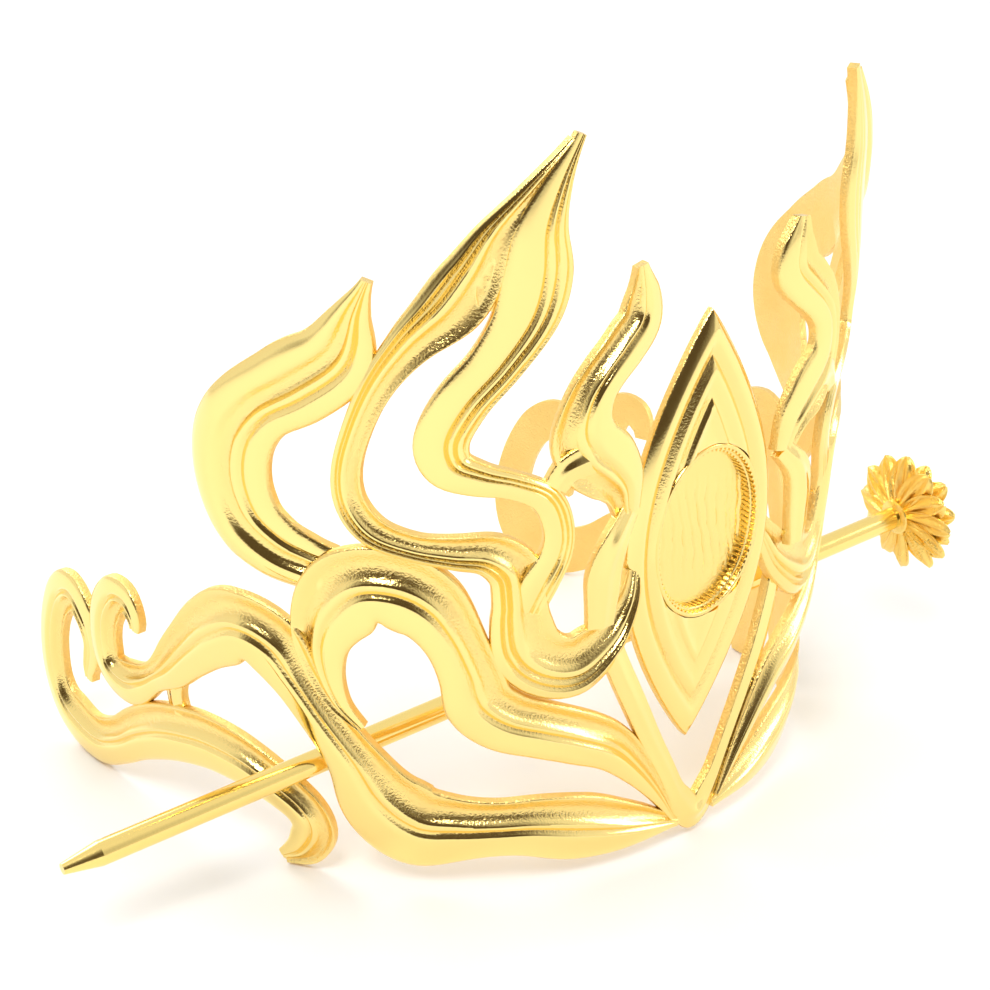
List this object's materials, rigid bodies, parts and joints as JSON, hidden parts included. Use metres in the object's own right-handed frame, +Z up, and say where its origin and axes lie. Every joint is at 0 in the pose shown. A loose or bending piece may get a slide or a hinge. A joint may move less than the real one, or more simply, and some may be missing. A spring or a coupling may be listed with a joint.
{
  "type": "hair crown",
  "caption": "Open flame-shaped hair crown with two pierced wings, a marquise plaque with an oval stone cup, and a straight flower hairpin that slides through both wings.",
  "frame": {"origin": "lowest point of the V at the front, on the mirror plane", "axes": "+X to the right as seen from the front, +Y to the back of the head, +Z up"},
  "size_m": [0.1436, 0.0879, 0.1018],
  "materials": {
    "polished_gold": "polished gold plating over cast metal",
    "satin_gold": "satin gold plating"
  },
  "bodies": {
    "crown": {"crown_frame": "polished_gold", "stone_cup": "satin_gold"},
    "hairpin": {"pin_shaft": "polished_gold", "flower_head": "satin_gold"}
  },
  "joints": [
    {"name": "hairpin_slide", "type": "slide", "parent": "crown", "child": "hairpin", "axis": [0.9819, -0.1706, 0.0823], "range_m": [-0.011, 0.125]}
  ]
}
